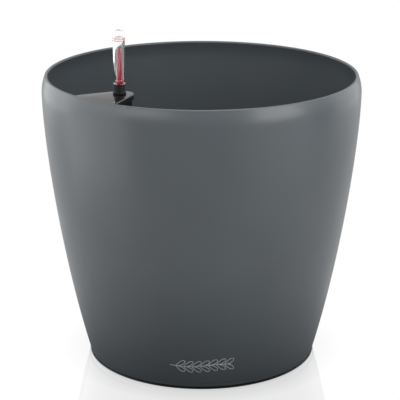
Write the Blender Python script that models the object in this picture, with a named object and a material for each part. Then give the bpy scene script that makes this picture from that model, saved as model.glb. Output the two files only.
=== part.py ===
"""Round self-watering planter: a tapered pot, a lift-out irrigation insert on four wick cups, a watering
shaft with a lid, and a float-type water level indicator that hangs in the lid.

Metres, +Z up. The origin is the centre of the pot's underside, on the surface that it stands on.
The front is -Y. The watering shaft stands at the front left, at the azimuth SHAFT_AZIMUTH.
"""

from math import asin, atan2, cos, hypot, pi, radians, sin, sqrt, tan

import bmesh
import bpy
from mathutils import Matrix, Vector
from mathutils.geometry import interpolate_bezier

MM = 0.001
GAP = 0.3 * MM  # what touching pieces keep between their meshes

# Pot
POT_HEIGHT = 256.0 * MM
BELLY_R, BELLY_Z = 140.0 * MM, 243.0 * MM  # the widest place
BASE_R, BASE_Z = 102.4 * MM, 2.6 * MM  # where the wall leaves the rounded foot
BASE_SLOPE = 0.281  # how fast the radius grows with height at the base
BASE_PULL, BELLY_PULL = 73.8 * MM, 52.6 * MM  # lengths of the wall curve's handles
LIP_R = 137.4 * MM  # outside of the rim, drawn in from the belly
WALL = 3.0 * MM
RECESS_Z = 6.0 * MM  # how far the middle of the underside is raised
FLOOR_Z = 9.0 * MM
FOOT_IN, FOOT_OUT = 91.5 * MM, 100.3 * MM  # the flat ring that the pot stands on
FLOOR_FILLET = 8.0 * MM

# Overflow pipe and drain plug, on the pot's axis
WATER_MAX_Z = 54.0 * MM
PIPE_R, PIPE_BORE_R = 6.5 * MM, 4.2 * MM
PIPE_END_Z = 2.2 * MM
FLANGE_R, FLANGE_T = 12.0 * MM, 2.5 * MM
GASKET_T = 1.2 * MM
NUT_R, NUT_Z = 12.5 * MM, 2.7 * MM
PLUG_HEAD_R, PLUG_HEAD_Z, PLUG_HEAD_T = 6.2 * MM, 0.5 * MM, 1.4 * MM
PLUG_R, PLUG_TOP_Z = 3.7 * MM, 15.0 * MM
SEAL_Z, SEAL_R, SEAL_WIRE_R = 10.0 * MM, 3.35 * MM, 0.55 * MM

# Soil separator and its wick cups
PLATE_Z, PLATE_T = 62.0 * MM, 2.5 * MM
PLATE_LIP = 6.0 * MM
WALL_CLEARANCE = 1.0 * MM
SHAFT_CLEARANCE, NOTCH_OUT = 0.6 * MM, 8.0 * MM  # the notch for the shaft, open at the plate's edge
CUP_COUNT, CUP_RING_R = 4, 60.0 * MM
CUP_NECK_R, CUP_BASE_R, CUP_WALL = 16.6 * MM, 12.5 * MM, 2.0 * MM
CUP_SHOULDER_R, CUP_SHOULDER_T = 20.5 * MM, 1.7 * MM
CUP_TOP_Z = 66.5 * MM
CUP_SLOTS, CUP_SLOT_W = 6, 3.0 * MM
CUP_SLOT_Z, CUP_SLOT_TOP_Z = 17.0 * MM, 38.0 * MM
SLOT_W, SLOT_L = 3.0 * MM, 15.0 * MM
SLOT_RINGS = ((24.0 * MM, 6), (46.0 * MM, 12), (78.0 * MM, 20), (97.0 * MM, 26))  # radius, count

# Watering shaft: a wedge seen from above, from a round tip (nearer the pot's axis) out to the wall
SHAFT_AZIMUTH = radians(-133.6)
SHAFT_WALL, SHAFT_TO_POT = 1.6 * MM, 1.2 * MM
SHAFT_KEYS = (  # height, tip radius, half width at the tip, half width at the wall
    (32.0 * MM, 88.6 * MM, 6.6 * MM, 9.8 * MM),
    (64.8 * MM, 88.6 * MM, 6.6 * MM, 13.0 * MM),
    (225.0 * MM, 88.3 * MM, 6.5 * MM, 19.4 * MM),
    (251.6 * MM, 88.0 * MM, 6.4 * MM, 22.9 * MM),
)
SHAFT_TOP_R = 131.7 * MM  # the farthest that its wall side gets from the pot's axis
WALL_CORNER = 3.0 * MM
COLLAR_OUT, COLLAR_T = 4.0 * MM, 2.0 * MM  # the ledge by which the shaft rests on the separator
STRAINER_T, STRAINER_PLUG = 1.5 * MM, 1.8 * MM
STRAINER_HOLE_R = 0.7 * MM
STRAINER_SPOTS = (  # direction off the shaft's own, distance from the indicator's axis
    (radians(180), 6.8 * MM),
    (radians(140), 6.4 * MM),
    (radians(-140), 6.4 * MM),
)

# Lid: a cap over the shaft's top edge
LID_Z, LID_T = 251.9 * MM, 1.7 * MM
LID_SKIRT, LID_SKIRT_T = 2.8 * MM, 1.2 * MM
LID_HOLE_R = 4.95 * MM
LID_EDGE = 0.5 * MM

# Water level indicator, on its own vertical axis inside the shaft
INDICATOR_R = 98.8 * MM  # distance of its axis from the pot's axis
TUBE_R, TUBE_BORE_R = 4.55 * MM, 3.6 * MM
TUBE_Z, TUBE_TOP_Z = 22.0 * MM, 262.2 * MM
TUBE_COLLAR_R, TUBE_COLLAR_T = 5.6 * MM, 1.8 * MM
TUBE_SLOTS, TUBE_SLOT_W, TUBE_SLOT_L = 4, 1.6 * MM, 18.0 * MM
HEAD_R, HEAD_BORE_R, SPIGOT_R, SPIGOT_BORE_R = 5.0 * MM, 4.1 * MM, 3.3 * MM, 2.6 * MM
SPIGOT_L, HEAD_TOP_Z, HEAD_FLOOR_T = 6.0 * MM, 307.5 * MM, 0.8 * MM
HEAD_ROUND, VENT_R = 3.2 * MM, 0.6 * MM
FOOT_PLUG_R, FOOT_PLUG_L, FOOT_HOLE_R = 3.3 * MM, 3.0 * MM, 1.2 * MM

# Float: pointer, stem and float body
POINTER_R, POINTER_TIP_Z = 1.6 * MM, 292.3 * MM
POINTER_STOP_R, POINTER_STOP_T = 3.8 * MM, 1.4 * MM
POINTER_SLEEVE_R, POINTER_SLEEVE_L = 2.1 * MM, 6.0 * MM
STEM_R, FLOAT_R = 0.8 * MM, 3.1 * MM
FLOAT_Z, FLOAT_TOP_Z, FLOAT_HOLE_Z = 25.6 * MM, 63.0 * MM, 48.0 * MM

POT_SIDES, PIECE_SIDES, SMALL_SIDES = 56, 28, 20
SHAFT_STEPS = 4  # of each of the shaft's round corners
TIP_ROUNDNESS = 0.97  # 1 makes the two round corners of the tip meet

SLATE = ("slate", (0.115, 0.125, 0.132), 0.45)
BLACK = ("black_plastic", (0.012, 0.012, 0.013), 0.35)
RED = ("red_plastic", (0.55, 0.02, 0.03), 0.35)
CLEAR = ("clear_plastic", (0.9, 0.95, 0.95), 0.05)
FOAM = ("white_foam", (0.75, 0.75, 0.72), 0.8)
RUBBER = ("rubber", (0.02, 0.02, 0.02), 0.8)


def material(look):
    name, colour, roughness = look
    made = bpy.data.materials.get(name) or bpy.data.materials.new(name)
    made.use_nodes = True
    shader = made.node_tree.nodes["Principled BSDF"]
    shader.inputs["Base Color"].default_value = (*colour, 1.0)
    shader.inputs["Roughness"].default_value = roughness
    if look is CLEAR:
        shader.inputs["Transmission Weight"].default_value = 1.0
    return made


def add(name, bm, look, at=(0.0, 0.0, 0.0)):
    """Turns the bmesh into an object with one material, smooth but for its real edges."""
    bmesh.ops.recalc_face_normals(bm, faces=bm.faces)
    mesh = bpy.data.meshes.new(name)
    bm.to_mesh(mesh)
    bm.free()
    mesh.shade_smooth()
    mesh.set_sharp_from_angle(angle=radians(35))
    made = bpy.data.objects.new(name, mesh)
    made.location = at
    made.data.materials.append(material(look))
    bpy.context.scene.collection.objects.link(made)
    return made


def cut(target, bm, name):
    """Takes the bmesh's shape out of the target with a Boolean modifier."""
    cutter = add(name, bm, BLACK, target.location)
    cutter.hide_render = True
    cutter.display_type = "WIRE"
    modifier = target.modifiers.new(name, "BOOLEAN")
    modifier.operation = "DIFFERENCE"
    modifier.object = cutter


def turned(outline, sides):
    """Spins a closed outline of (radius, height) points about Z."""
    bm = bmesh.new()
    points = [bm.verts.new((r, 0.0, z)) for r, z in outline]
    edges = [bm.edges.new((a, b)) for a, b in zip(points, points[1:] + points[:1])]
    bmesh.ops.spin(
        bm,
        geom=points + edges,
        axis=(0, 0, 1),
        cent=(0, 0, 0),
        angle=2 * pi,
        steps=sides,
        use_merge=True,
    )
    bmesh.ops.remove_doubles(bm, verts=bm.verts, dist=1e-7)
    bmesh.ops.dissolve_degenerate(bm, edges=bm.edges, dist=1e-7)
    return bm


def prism(outline, low, high, bm=None):
    """A solid between two heights over an (x, y) outline."""
    bm = bm or bmesh.new()
    face = bm.faces.new([bm.verts.new((x, y, low)) for x, y in outline])
    grown = bmesh.ops.extrude_face_region(bm, geom=[face])["geom"]
    top = [v for v in grown if isinstance(v, bmesh.types.BMVert)]
    bmesh.ops.translate(bm, verts=top, vec=(0, 0, high - low))
    return bm


def loft(rings, tube=False):
    """Joins rings of points that all have the same count. A tube joins the last ring to the first."""
    bm = bmesh.new()
    loops = [[bm.verts.new(point) for point in ring] for ring in rings]
    pairs = list(zip(loops, loops[1:]))
    if tube:
        pairs.append((loops[-1], loops[0]))
    else:
        bm.faces.new(loops[0])
        bm.faces.new(loops[-1])
    for lower, upper in pairs:
        for i, point in enumerate(lower):
            j = (i + 1) % len(lower)
            bm.faces.new((point, lower[j], upper[j], upper[i]))
    return bm


def arc(centre, radius, start, end, steps):
    """Points on a circle from one angle to another, in degrees."""
    angles = [radians(start + (end - start) * i / steps) for i in range(steps + 1)]
    return [(centre[0] + radius * cos(a), centre[1] + radius * sin(a)) for a in angles]


def circle(centre, radius, count):
    return arc(centre, radius, 0, 360 * (count - 1) / count, count - 1)


def polar(radius, angle):
    return radius * cos(angle), radius * sin(angle)


# The pot


def wall_points(steps, inset=0.0):
    """The wall's curve from the foot to the belly, as (radius, height), set in by inset."""
    start = Vector((BASE_R, BASE_Z))
    end = Vector((BELLY_R, BELLY_Z))
    first = start + Vector((BASE_SLOPE, 1.0)) * BASE_PULL
    last = end - Vector((0.0, 1.0)) * BELLY_PULL
    return [(p.x - inset, p.y) for p in interpolate_bezier(start, first, last, end, steps)]


def wall_radius(z, inset=0.0):
    """Radius of the pot's wall at a height below the belly."""
    points = wall_points(60, inset)
    for (r0, z0), (r1, z1) in zip(points, points[1:]):
        if z <= z1:
            return r0 + (r1 - r0) * (z - z0) / (z1 - z0)
    return points[-1][0]


def shoulder_points(steps, inset=0.0):
    """The arc that draws the wall in from the belly to the lip."""
    lip_z = POT_HEIGHT - WALL / 2
    drop, rise = BELLY_R - LIP_R, lip_z - BELLY_Z
    radius = (drop**2 + rise**2) / (2 * drop)
    turn = asin(rise / radius)
    bends = [turn * i / steps for i in range(1, steps + 1)]
    return [(BELLY_R - inset - radius * (1 - cos(a)), BELLY_Z + radius * sin(a)) for a in bends]


def build_pot():
    outside = wall_points(9) + shoulder_points(3)
    lip_z = POT_HEIGHT - WALL / 2
    lip = arc((LIP_R - WALL / 2, lip_z), WALL / 2, 45, 135, 2)
    floor_r = wall_radius(FLOOR_Z + FLOOR_FILLET, WALL)
    inside = [p for p in wall_points(9, WALL) if p[1] > FLOOR_Z + FLOOR_FILLET + 4 * MM]
    inside = [(floor_r, FLOOR_Z + FLOOR_FILLET)] + inside + shoulder_points(3, WALL)
    fillet = arc((floor_r - FLOOR_FILLET, FLOOR_Z + FLOOR_FILLET), FLOOR_FILLET, -90, -15, 3)
    hole = PIPE_R + 0.5 * MM
    under = [(hole, RECESS_Z), (FOOT_IN - 3 * MM, RECESS_Z), (FOOT_IN, 0.0), (FOOT_OUT, 0.0)]
    foot = [(BASE_R - 0.8 * MM, 0.8 * MM)]
    floor = [(hole, FLOOR_Z)]
    outline = under + foot + outside + lip + inside[::-1] + fillet[::-1] + floor
    add("planter_shell", turned(outline, POT_SIDES), SLATE)


def build_overflow():
    flange_z = FLOOR_Z + GASKET_T + 2 * GAP
    pipe = [
        (PIPE_BORE_R, PIPE_END_Z),
        (PIPE_R - 0.2 * MM, PIPE_END_Z),
        (PIPE_R - 0.2 * MM, flange_z),
        (FLANGE_R, flange_z),
        (FLANGE_R, flange_z + FLANGE_T),
        (PIPE_R, flange_z + FLANGE_T),
        (PIPE_R, WATER_MAX_Z),
        (PIPE_BORE_R, WATER_MAX_Z),
    ]
    add("overflow_pipe", turned(pipe, PIECE_SIDES), BLACK)
    low, high = FLOOR_Z + GAP, FLOOR_Z + GAP + GASKET_T
    ring = ((PIPE_R + GAP, low), (FLANGE_R - 0.5 * MM, low))
    ring += ((FLANGE_R - 0.5 * MM, high), (PIPE_R + GAP, high))
    add("overflow_gasket", turned(ring, PIECE_SIDES), RUBBER)
    nut = add("overflow_nut", prism(circle((0, 0), NUT_R, 6), NUT_Z, RECESS_Z - GAP), BLACK)
    bore = circle((0, 0), PIPE_R + 0.1 * MM, PIECE_SIDES)
    cut(nut, prism(bore, 0.0, RECESS_Z + MM), "nut_bore")


def build_drain_plug():
    groove = SEAL_WIRE_R + 0.25 * MM
    neck_r = SEAL_R - SEAL_WIRE_R - 0.15 * MM
    head_top = PLUG_HEAD_Z + PLUG_HEAD_T
    outline = [
        (0.0, PLUG_HEAD_Z),
        (PLUG_HEAD_R - 0.4 * MM, PLUG_HEAD_Z),
        (PLUG_HEAD_R, PLUG_HEAD_Z + 0.4 * MM),
        (PLUG_HEAD_R, head_top),
        (PLUG_R, head_top),
        (PLUG_R, SEAL_Z - groove),
        (neck_r, SEAL_Z - groove),
        (neck_r, SEAL_Z + groove),
        (PLUG_R, SEAL_Z + groove),
        (PLUG_R, PLUG_TOP_Z - MM),
        (PLUG_R - MM, PLUG_TOP_Z),
        (0.0, PLUG_TOP_Z),
    ]
    plug = add("drain_plug", turned(outline, PIECE_SIDES), BLACK)
    slot = [(-5 * MM, -0.7 * MM), (5 * MM, -0.7 * MM), (5 * MM, 0.7 * MM), (-5 * MM, 0.7 * MM)]
    cut(plug, prism(slot, 0.0, PLUG_HEAD_Z + 0.8 * MM), "driver_slot")
    ring = circle((SEAL_R, SEAL_Z), SEAL_WIRE_R, 8)
    add("drain_plug_seal", turned(ring, PIECE_SIDES), RUBBER)


# The separator and its cups


def cup_centres():
    """The cups stand between the shaft and its opposite side, an eighth of a turn off the shaft."""
    step = 2 * pi / CUP_COUNT
    return [polar(CUP_RING_R, SHAFT_AZIMUTH + step * (i + 0.5)) for i in range(CUP_COUNT)]


def slot_outline(radius, angle):
    """A tangential slot with round ends."""
    half = (SLOT_L - SLOT_W) / 2
    ends = arc((half, 0), SLOT_W / 2, -90, 90, 3) + arc((-half, 0), SLOT_W / 2, 90, 270, 3)
    turn = Matrix.Rotation(angle + pi / 2, 2)
    centre = Vector(polar(radius, angle))
    return [centre + turn @ Vector(p) for p in ends]


def clear_of_openings(radius, angle):
    """Whether a slot here keeps off the cups' holes and the shaft's."""
    reach = SLOT_L / 2 + 4 * MM
    x, y = polar(radius, angle)
    near_cup = any(hypot(x - u, y - v) < CUP_SHOULDER_R + reach - 2 * MM for u, v in cup_centres())
    shaft_x, shaft_y = polar(100.5 * MM, SHAFT_AZIMUTH)
    return not near_cup and hypot(x - shaft_x, y - shaft_y) > 16 * MM + reach


def build_separator():
    radius = wall_radius(PLATE_Z, WALL) - WALL_CLEARANCE
    lip_z = PLATE_Z + PLATE_LIP
    lip_r = wall_radius(lip_z, WALL) - WALL_CLEARANCE
    outline = [
        (0.0, PLATE_Z),
        (radius - MM, PLATE_Z),
        (radius, PLATE_Z + MM),
        (lip_r, lip_z),
        (lip_r - 2 * MM, lip_z),
        (radius - 2.4 * MM, PLATE_Z + PLATE_T),
        (0.0, PLATE_Z + PLATE_T),
    ]
    plate = add("separator_plate", turned(outline, POT_SIDES), BLACK)
    low, high = PLATE_Z - 2 * MM, PLATE_Z + PLATE_T + 2 * MM
    holes = bmesh.new()
    for centre in cup_centres():
        prism(circle(centre, CUP_NECK_R + 0.4 * MM, PIECE_SIDES), low, high, holes)
    notch = shaft_ring(PLATE_Z + PLATE_T, -SHAFT_CLEARANCE, wall_inset=-NOTCH_OUT)
    prism([p.xy for p in notch], PLATE_Z - 2 * MM, PLATE_Z + PLATE_LIP + 2 * MM, holes)
    for radius, count in SLOT_RINGS:
        for i in range(count):
            angle = SHAFT_AZIMUTH + 2 * pi * (i + 0.5) / count
            if clear_of_openings(radius, angle):
                prism(slot_outline(radius, angle), low, high, holes)
    cut(plate, holes, "separator_holes")


def build_cups():
    foot_z = FLOOR_Z + GAP
    shoulder_z = PLATE_Z - GAP - CUP_SHOULDER_T
    outline = [
        (3.0 * MM, foot_z),
        (CUP_BASE_R, foot_z),
        (CUP_NECK_R, shoulder_z),
        (CUP_SHOULDER_R, shoulder_z),
        (CUP_SHOULDER_R, shoulder_z + CUP_SHOULDER_T),
        (CUP_NECK_R, shoulder_z + CUP_SHOULDER_T),
        (CUP_NECK_R, CUP_TOP_Z),
        (CUP_NECK_R - CUP_WALL, CUP_TOP_Z),
        (CUP_NECK_R - CUP_WALL, shoulder_z),
        (CUP_BASE_R - CUP_WALL, foot_z + CUP_WALL),
        (3.0 * MM, foot_z + CUP_WALL),
    ]
    half = CUP_SLOT_W / 2
    bar = [(0.0, -half), (2 * CUP_BASE_R, -half), (2 * CUP_BASE_R, half), (0.0, half)]
    for number, (x, y) in enumerate(cup_centres(), 1):
        cup = add(f"wick_cup_{number}", turned(outline, PIECE_SIDES), BLACK, (x, y, 0.0))
        slots = bmesh.new()
        for i in range(CUP_SLOTS):
            turn = Matrix.Rotation(2 * pi * i / CUP_SLOTS, 2)
            ring = [turn @ (Vector(p) + Vector((5 * MM, 0))) for p in bar]
            prism(ring, CUP_SLOT_Z, CUP_SLOT_TOP_Z, slots)
        cut(cup, slots, f"cup_slots_{number}")


# The shaft, its strainer and its lid


def shaft_size(z):
    """Tip radius, tip half width, wall radius and wall half width at a height."""
    lower = max((k for k in SHAFT_KEYS if k[0] <= z + 1e-9), default=SHAFT_KEYS[0])
    upper = min((k for k in SHAFT_KEYS if k[0] > z + 1e-9), default=SHAFT_KEYS[-1])
    ends = []
    for height, tip, tip_half, wall_half in (lower, upper):
        wall = min(wall_radius(height, WALL) - SHAFT_TO_POT, SHAFT_TOP_R)
        ends.append((tip, tip_half, wall, wall_half))
    share = 0.0 if upper is lower else (z - lower[0]) / (upper[0] - lower[0])
    return [a + (b - a) * share for a, b in zip(*ends)]


def rounded(corners, steps):
    """Replaces each (point, radius) corner by an arc that touches both of its sides."""
    made = []
    for i, (corner, radius) in enumerate(corners):
        before = Vector(corners[i - 1][0])
        after = Vector(corners[(i + 1) % len(corners)][0])
        here = Vector(corner)
        to_before, to_after = (before - here).normalized(), (after - here).normalized()
        half = to_before.angle(to_after) / 2
        centre = here + (to_before + to_after).normalized() * radius / sin(half)
        start = here + to_before * radius / tan(half) - centre
        end = here + to_after * radius / tan(half) - centre
        turn = start.angle_signed(end)
        made += [centre + Matrix.Rotation(-turn * k / steps, 2) @ start for k in range(steps + 1)]
    return made


def shaft_ring(z, inset=0.0, size_z=None, wall_inset=None):
    """The shaft's outline at a height, set in by inset (by wall_inset at the pot's wall)."""
    tip, tip_half, wall, wall_half = shaft_size(z if size_z is None else size_z)
    wall_inset = inset if wall_inset is None else wall_inset
    slope = atan2(wall_half - tip_half, wall - tip)
    tip_half += inset * (tan(slope) - 1 / cos(slope))
    wall_half -= wall_inset * tan(slope) + inset / cos(slope)
    tip, wall = tip + inset, wall - wall_inset
    end = sqrt(wall**2 - wall_half**2)
    tip_round = TIP_ROUNDNESS * tip_half * tan((pi / 2 + slope) / 2)
    wall_round = max(WALL_CORNER - inset, MM)
    corners = [
        ((tip, -tip_half), tip_round),
        ((end, -wall_half), wall_round),
        ((end, wall_half), wall_round),
        ((tip, tip_half), tip_round),
    ]
    ring = rounded(corners, SHAFT_STEPS)
    bulge = [Vector(polar(wall, asin(wall_half / wall) * s)) for s in (-0.6, -0.2, 0.2, 0.6)]
    half_way = 2 * (SHAFT_STEPS + 1)
    ring[half_way:half_way] = bulge
    turn = Matrix.Rotation(SHAFT_AZIMUTH, 2)
    return [(turn @ p).to_3d() + Vector((0, 0, z)) for p in ring]


def build_shaft():
    ledge = PLATE_Z + PLATE_T + GAP
    heights = [SHAFT_KEYS[0][0], ledge]
    outer = [shaft_ring(z) for z in heights]
    outer += [shaft_ring(z, -COLLAR_OUT, ledge, 0.0) for z in (ledge, ledge + COLLAR_T)]
    above = [ledge + COLLAR_T, SHAFT_KEYS[2][0], SHAFT_KEYS[3][0]]
    outer += [shaft_ring(z) for z in above]
    inner = [shaft_ring(z, SHAFT_WALL) for z in reversed(heights + above)]
    add("watering_shaft", loft(outer + inner, tube=True), BLACK)


def build_strainer():
    """A plug in the shaft's lower end. The indicator passes through it, and so does the water."""
    end = SHAFT_KEYS[0][0]
    low, high = end - GAP - STRAINER_T, end + STRAINER_PLUG
    rings = [shaft_ring(z, 0.0, end) for z in (low, end - GAP)]
    rings += [shaft_ring(z, SHAFT_WALL + GAP, end) for z in (end - GAP, high)]
    strainer = add("shaft_strainer", loft(rings), BLACK)
    x, y = polar(INDICATOR_R, SHAFT_AZIMUTH)
    holes = prism(circle((x, y), TUBE_R + 0.4 * MM, SMALL_SIDES), low - MM, high + MM)
    for angle, reach in STRAINER_SPOTS:
        spot_x, spot_y = polar(reach, SHAFT_AZIMUTH + angle)
        prism(circle((x + spot_x, y + spot_y), STRAINER_HOLE_R, 8), low - MM, high + MM, holes)
    cut(strainer, holes, "strainer_holes")


def build_lid():
    """A plate with a skirt around the shaft's top edge and a hole for the indicator."""
    top = SHAFT_KEYS[-1][0]
    out = LID_SKIRT_T + GAP
    low, high = LID_Z - LID_SKIRT, LID_Z + LID_T
    rings = [
        shaft_ring(LID_Z, -GAP, top),
        shaft_ring(low, -GAP, top),
        shaft_ring(low, -out, top),
        shaft_ring(high - LID_EDGE, -out, top),
        shaft_ring(high, LID_EDGE - out, top),
    ]
    lid = add("shaft_lid", loft(rings), BLACK)
    centre = polar(INDICATOR_R, SHAFT_AZIMUTH)
    cut(lid, prism(circle(centre, LID_HOLE_R, PIECE_SIDES), low - MM, high + MM), "indicator_hole")


# The indicator and its float


def indicator_axis():
    return (*polar(INDICATOR_R, SHAFT_AZIMUTH), 0.0)


def build_tube():
    collar_z = LID_Z + LID_T + GAP
    outline = [
        (TUBE_BORE_R, TUBE_Z),
        (TUBE_R, TUBE_Z),
        (TUBE_R, collar_z),
        (TUBE_COLLAR_R, collar_z),
        (TUBE_COLLAR_R, collar_z + TUBE_COLLAR_T),
        (TUBE_R, collar_z + TUBE_COLLAR_T),
        (TUBE_R, TUBE_TOP_Z),
        (TUBE_BORE_R, TUBE_TOP_Z),
    ]
    tube = add("indicator_tube", turned(outline, SMALL_SIDES), BLACK, indicator_axis())
    half, far = TUBE_SLOT_W / 2, 2 * TUBE_R
    slots = bmesh.new()
    for i in range(TUBE_SLOTS):
        turn = Matrix.Rotation(2 * pi * (i + 0.5) / TUBE_SLOTS, 2)
        bar = [(2 * MM, -half), (far, -half), (far, half), (2 * MM, half)]
        start = TUBE_Z + 6 * MM
        prism([turn @ Vector(p) for p in bar], start, start + TUBE_SLOT_L, slots)
    cut(tube, slots, "tube_slots")


def build_foot():
    flange_z = TUBE_Z - GAP
    outline = [
        (FOOT_HOLE_R, flange_z - 1.4 * MM),
        (TUBE_R, flange_z - 1.4 * MM),
        (TUBE_R, flange_z),
        (FOOT_PLUG_R, flange_z),
        (FOOT_PLUG_R, TUBE_Z + FOOT_PLUG_L),
        (FOOT_HOLE_R, TUBE_Z + FOOT_PLUG_L),
    ]
    add("indicator_foot", turned(outline, SMALL_SIDES), BLACK, indicator_axis())


def build_head():
    shoulder = TUBE_TOP_Z + GAP
    wall = HEAD_R - HEAD_BORE_R
    dome = (HEAD_R - HEAD_ROUND, HEAD_TOP_Z - HEAD_ROUND)
    outline = [
        (SPIGOT_BORE_R, shoulder - SPIGOT_L),
        (SPIGOT_R, shoulder - SPIGOT_L),
        (SPIGOT_R, shoulder),
        (HEAD_R, shoulder),
    ]
    outline += arc(dome, HEAD_ROUND, 0, 90, 4)
    outline += [(VENT_R, HEAD_TOP_Z), (VENT_R, HEAD_TOP_Z - wall)]
    outline += arc(dome, HEAD_ROUND - wall, 90, 0, 4)
    outline += [
        (HEAD_BORE_R, shoulder + HEAD_FLOOR_T),
        (SPIGOT_BORE_R, shoulder + HEAD_FLOOR_T),
    ]
    add("indicator_head", turned(outline, PIECE_SIDES), CLEAR, indicator_axis())


def build_float():
    stop_z = TUBE_TOP_Z + 2 * GAP + HEAD_FLOOR_T
    sleeve_z = stop_z - POINTER_SLEEVE_L
    bore_r = STEM_R + GAP
    bore_top = stop_z - MM
    tip_round = arc((0.0, POINTER_TIP_Z - POINTER_R), POINTER_R, 0, 90, 3)
    pointer = [
        (bore_r, sleeve_z),
        (POINTER_SLEEVE_R, sleeve_z),
        (POINTER_SLEEVE_R, stop_z),
        (POINTER_STOP_R, stop_z),
        (POINTER_STOP_R, stop_z + POINTER_STOP_T),
        (POINTER_R, stop_z + POINTER_STOP_T),
        *tip_round,
        (0.0, bore_top),
        (bore_r, bore_top),
    ]
    add("float_pointer", turned(pointer, SMALL_SIDES), RED, indicator_axis())
    low, high = FLOAT_HOLE_Z + GAP, bore_top - GAP
    stem = [(0.0, low), (STEM_R, low), (STEM_R, high), (0.0, high)]
    add("float_stem", turned(stem, 12), FOAM, indicator_axis())
    body = [
        (0.0, FLOAT_Z),
        (FLOAT_R - MM, FLOAT_Z),
        (FLOAT_R, FLOAT_Z + MM),
        (FLOAT_R, FLOAT_TOP_Z - MM),
        (FLOAT_R - MM, FLOAT_TOP_Z),
        (bore_r, FLOAT_TOP_Z),
        (bore_r, FLOAT_HOLE_Z),
        (0.0, FLOAT_HOLE_Z),
    ]
    add("float_body", turned(body, SMALL_SIDES), FOAM, indicator_axis())


for leftover in list(bpy.data.objects):
    bpy.data.objects.remove(leftover)
build_pot()
build_overflow()
build_drain_plug()
build_separator()
build_cups()
build_shaft()
build_strainer()
build_lid()
build_tube()
build_foot()
build_head()
build_float()
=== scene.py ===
"""Looks of the round self-watering planter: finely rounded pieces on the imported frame, and a plain studio.

Metres, +Z up, the same frame as the CAD. Sizes are written in millimetres times MM.
"""

from math import asin, atan2, cos, hypot, pi, radians, sin, sqrt, tan

import bmesh
import bpy
from mathutils import Matrix, Vector
from mathutils.geometry import interpolate_bezier


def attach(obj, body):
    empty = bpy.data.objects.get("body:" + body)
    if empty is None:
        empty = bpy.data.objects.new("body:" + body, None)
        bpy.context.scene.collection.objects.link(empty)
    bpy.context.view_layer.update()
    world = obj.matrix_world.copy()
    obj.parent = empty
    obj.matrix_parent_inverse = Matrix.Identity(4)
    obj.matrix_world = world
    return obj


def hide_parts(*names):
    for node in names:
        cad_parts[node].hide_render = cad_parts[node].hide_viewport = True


MM = 0.001
GAP = 0.3 * MM
SHARP_ANGLE = radians(38)

# Pot
POT_HEIGHT = 256.0 * MM
BELLY_R, BELLY_Z = 140.0 * MM, 243.0 * MM
BASE_R, BASE_Z, BASE_SLOPE = 102.4 * MM, 2.6 * MM, 0.281
BASE_PULL, BELLY_PULL = 73.8 * MM, 52.6 * MM  # lengths of the wall curve's handles
LIP_R, WALL = 137.4 * MM, 3.0 * MM
EASE_Z, EASE_POWER = 239.5 * MM, 2.3  # where the shoulder starts to draw in, and how suddenly
RECESS_Z, FLOOR_Z = 6.0 * MM, 9.0 * MM
FOOT_IN, FOOT_OUT, FOOT_STEP_Z = 91.5 * MM, 99.2 * MM, 1.5 * MM
FLOOR_FILLET, FLOOR_HOLE_GAP = 8.0 * MM, 0.5 * MM
WALL_STEPS, SHOULDER_STEPS = 72, 14

# Overflow pipe and drain plug
WATER_MAX_Z = 54.0 * MM
PIPE_R, PIPE_BORE_R, PIPE_END_Z = 6.5 * MM, 4.2 * MM, 2.2 * MM
PIPE_THREAD_R, NUT_BORE_R = 6.3 * MM, 6.6 * MM
FLANGE_R, FLANGE_T, GASKET_T = 12.0 * MM, 2.5 * MM, 1.2 * MM
NUT_R, NUT_Z = 12.5 * MM, 2.7 * MM  # the radius is to the corners
PLUG_HEAD_R, PLUG_HEAD_Z, PLUG_HEAD_T = 6.2 * MM, 0.5 * MM, 1.4 * MM
PLUG_R, PLUG_TOP_Z = 3.7 * MM, 15.0 * MM
PLUG_SLOT_L, PLUG_SLOT_W, PLUG_SLOT_DEPTH = 10.0 * MM, 1.4 * MM, 0.8 * MM
SEAL_Z, SEAL_R, SEAL_WIRE_R = 10.0 * MM, 3.35 * MM, 0.55 * MM

# Separator and wick cups
PLATE_Z, PLATE_T, PLATE_LIP, WALL_CLEARANCE = 62.0 * MM, 2.5 * MM, 6.0 * MM, 1.0 * MM
SHAFT_CLEARANCE, NOTCH_OUT = 0.6 * MM, 8.0 * MM
CUP_COUNT, CUP_RING_R = 4, 60.0 * MM
CUP_NECK_R, CUP_BASE_R, CUP_WALL = 16.6 * MM, 12.5 * MM, 2.0 * MM
CUP_SHOULDER_R, CUP_SHOULDER_T, CUP_TOP_Z = 20.5 * MM, 1.7 * MM, 66.5 * MM
CUP_HOLE_R, CUP_SLOTS, CUP_SLOT_W = 3.0 * MM, 6, 3.0 * MM
CUP_SLOT_Z, CUP_SLOT_TOP_Z, CUP_SLOT_START = 17.0 * MM, 38.0 * MM, 5.0 * MM
SLOT_W, SLOT_L = 3.0 * MM, 15.0 * MM
SLOT_RINGS = ((24.0 * MM, 6), (46.0 * MM, 12), (78.0 * MM, 20), (97.0 * MM, 26))  # radius, count
SLOT_TO_CUP, SLOT_TO_SHAFT = 2.0 * MM, 4.0 * MM

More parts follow.
